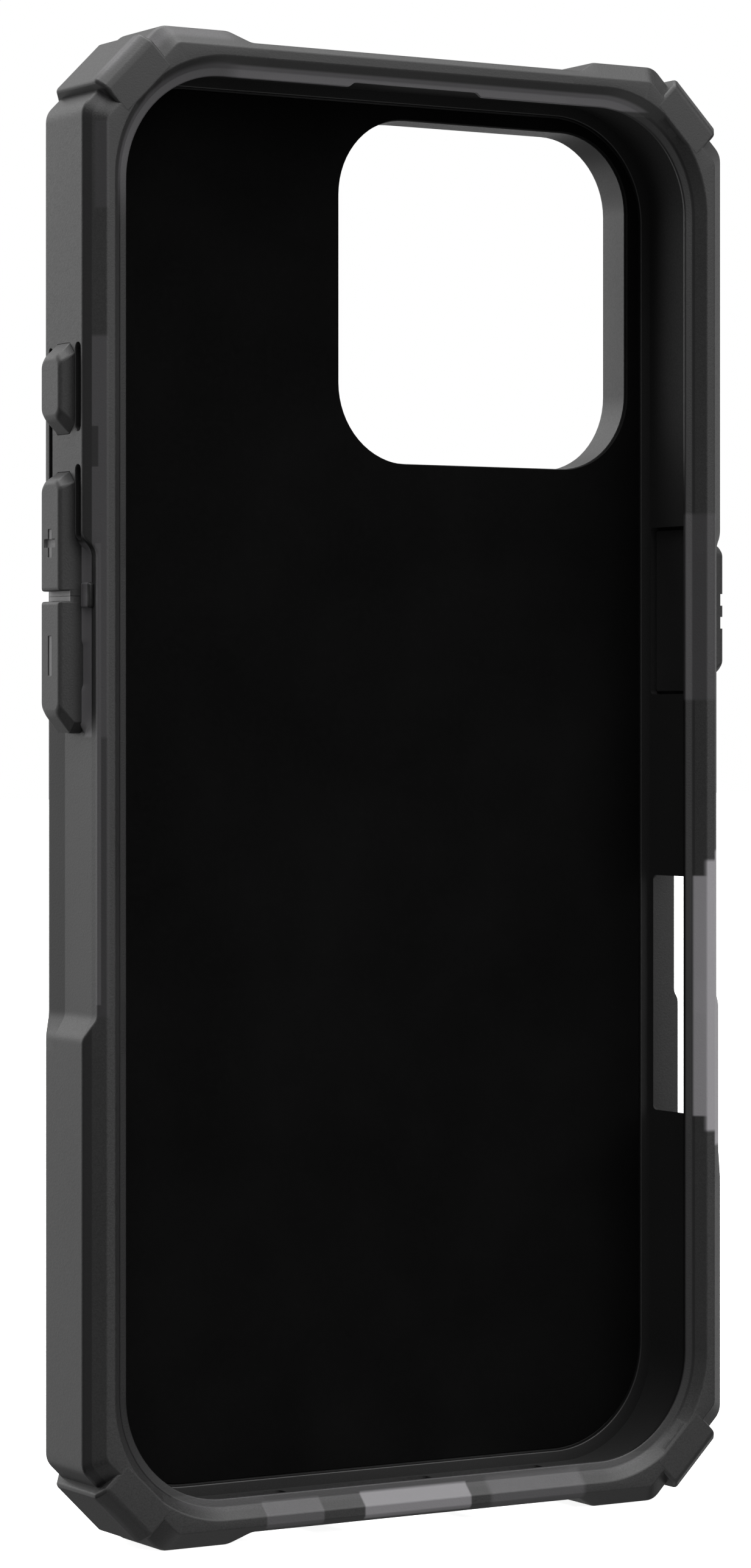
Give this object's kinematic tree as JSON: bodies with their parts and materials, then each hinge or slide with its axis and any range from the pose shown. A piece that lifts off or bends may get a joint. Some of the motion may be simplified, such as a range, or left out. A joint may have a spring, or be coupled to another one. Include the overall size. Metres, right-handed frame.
{
  "type": "phone case",
  "caption": "Rugged phone case: chamfered bumper frame with strapped corners, ribbed back shell, camera guard, magnet ring and side buttons that press in.",
  "frame": {"origin": "middle of the phone bed, the flat plane that the phone's back rests on", "axes": "+X to the right and +Z to the top when the open front is seen, +Y out of the back; the case's height is along Z and its depth along Y"},
  "size_m": [0.0829, 0.0151, 0.1572],
  "materials": {
    "bumper": "satin, smoky translucent, fine grain",
    "button": "satin, fine grain",
    "shell": "satin, smoky translucent",
    "guard": "satin",
    "liner": "short microfibre pile",
    "magnet": "nickel plated",
    "backing": "rolled"
  },
  "bodies": {
    "case": {"core_frame": "bumper", "back_shell": "shell", "camera_guard": "guard", "inner_liner": "liner", "magnet_backing_ring": "backing", "ring_magnet_01": "magnet", "ring_magnet_02": "magnet", "ring_magnet_03": "magnet", "ring_magnet_04": "magnet", "ring_magnet_05": "magnet", "ring_magnet_06": "magnet", "ring_magnet_07": "magnet", "ring_magnet_08": "magnet", "ring_magnet_09": "magnet", "ring_magnet_10": "magnet", "ring_magnet_11": "magnet", "ring_magnet_12": "magnet", "ring_magnet_13": "magnet", "ring_magnet_14": "magnet", "ring_magnet_15": "magnet", "ring_magnet_16": "magnet", "ring_magnet_17": "magnet", "ring_magnet_18": "magnet", "alignment_magnet": "magnet"},
    "action_button": {"action_button": "button"},
    "volume_up_button": {"volume_up_button": "button"},
    "volume_down_button": {"volume_down_button": "button"},
    "power_button": {"power_button": "button"}
  },
  "joints": [
    {"name": "action_press", "type": "slide", "parent": "case", "child": "action_button", "axis": [1, 0, 0], "range_m": [0, 0.0005], "stiffness_N_per_m": 60, "springref_m": -0.0005},
    {"name": "volume_up_press", "type": "slide", "parent": "case", "child": "volume_up_button", "axis": [1, 0, 0], "range_m": [0, 0.0005], "stiffness_N_per_m": 60, "springref_m": -0.0005},
    {"name": "volume_down_press", "type": "slide", "parent": "case", "child": "volume_down_button", "axis": [1, 0, 0], "range_m": [0, 0.0005], "stiffness_N_per_m": 60, "springref_m": -0.0005},
    {"name": "power_press", "type": "slide", "parent": "case", "child": "power_button", "axis": [-1, 0, 0], "range_m": [0, 0.0005], "stiffness_N_per_m": 60, "springref_m": -0.0005}
  ]
}
